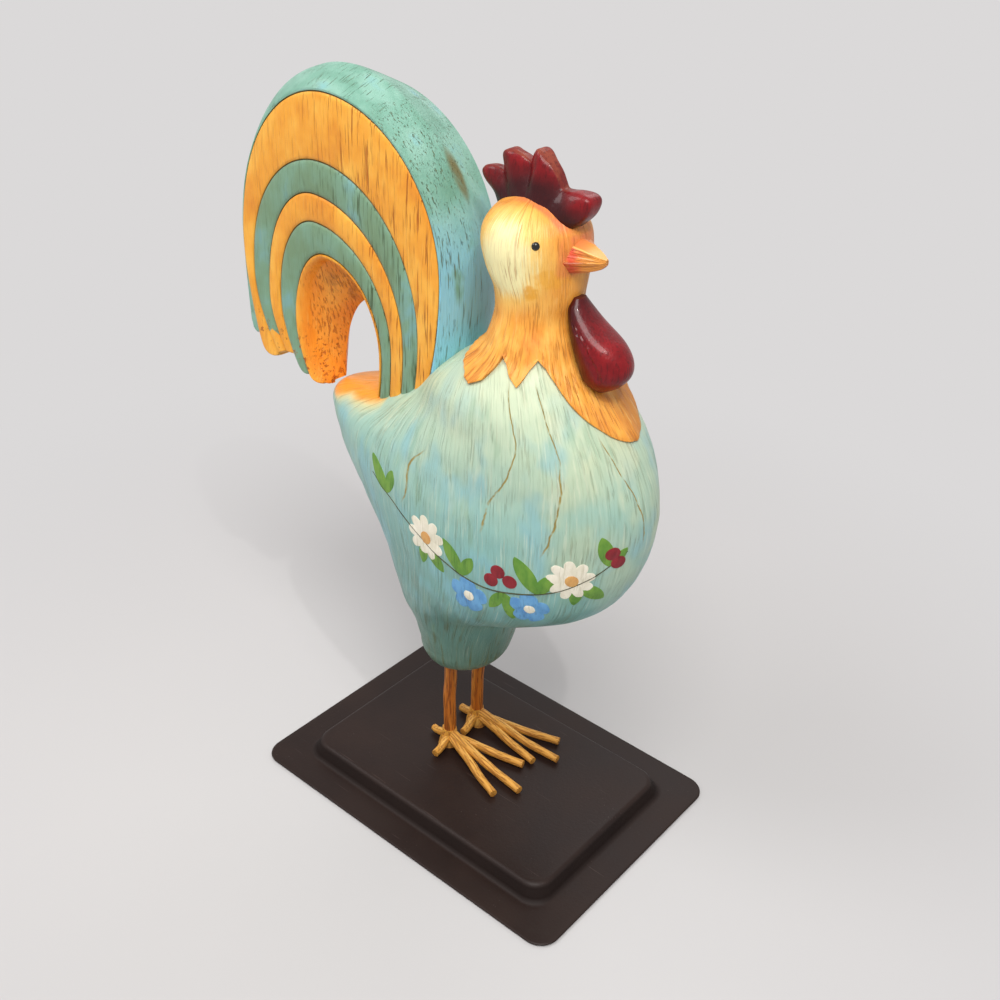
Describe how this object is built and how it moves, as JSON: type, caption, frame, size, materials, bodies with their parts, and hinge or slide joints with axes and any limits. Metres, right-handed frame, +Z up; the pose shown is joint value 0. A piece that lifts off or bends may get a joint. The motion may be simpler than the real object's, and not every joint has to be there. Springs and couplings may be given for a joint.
{
  "type": "rooster figurine",
  "caption": "Painted rooster ornament with an arched band tail, standing on two steel rods over a pressed steel tray.",
  "frame": {"origin": "middle of the object's overall footprint, at the tray's underside", "axes": "+Z up, +X towards the beak, +Y towards the rooster's left side"},
  "size_m": [0.2336, 0.128, 0.3202],
  "materials": {
    "base_steel": "dark brown satin paint",
    "leg_paint": "rust brown wash over mustard, matt",
    "foot_paint": "mustard with a brown wash, matt",
    "zinc": "zinc plated",
    "body_paint": "pale teal paint with a brown glaze in the grain",
    "tail_paint": "sea-green and orange bands, satin",
    "head_paint": "orange-yellow paint, satin",
    "comb_paint": "dark crimson gloss paint",
    "eye_bead": "black, polished",
    "dowel_wood": "bare beech"
  },
  "bodies": {
    "root": {"tray": "base_steel", "leg_rod_right": "leg_paint", "hub_right": "foot_paint", "toe_inner_right": "foot_paint", "toe_outer_right": "foot_paint", "toe_middle_right": "foot_paint", "spur_right": "foot_paint", "stub_right": "foot_paint", "washer_right": "zinc", "nut_right": "zinc", "leg_rod_left": "leg_paint", "hub_left": "foot_paint", "toe_inner_left": "foot_paint", "toe_outer_left": "foot_paint", "toe_middle_left": "foot_paint", "spur_left": "foot_paint", "stub_left": "foot_paint", "washer_left": "zinc", "nut_left": "zinc", "body": "body_paint", "neck_head": "head_paint", "comb": "comb_paint", "beak": "head_paint", "wattle": "comb_paint", "tail": "tail_paint", "eye_right": "eye_bead", "eye_left": "eye_bead", "neck_dowel": "dowel_wood", "tail_dowel_rear": "dowel_wood", "tail_dowel_front": "dowel_wood"}
  },
  "joints": []
}
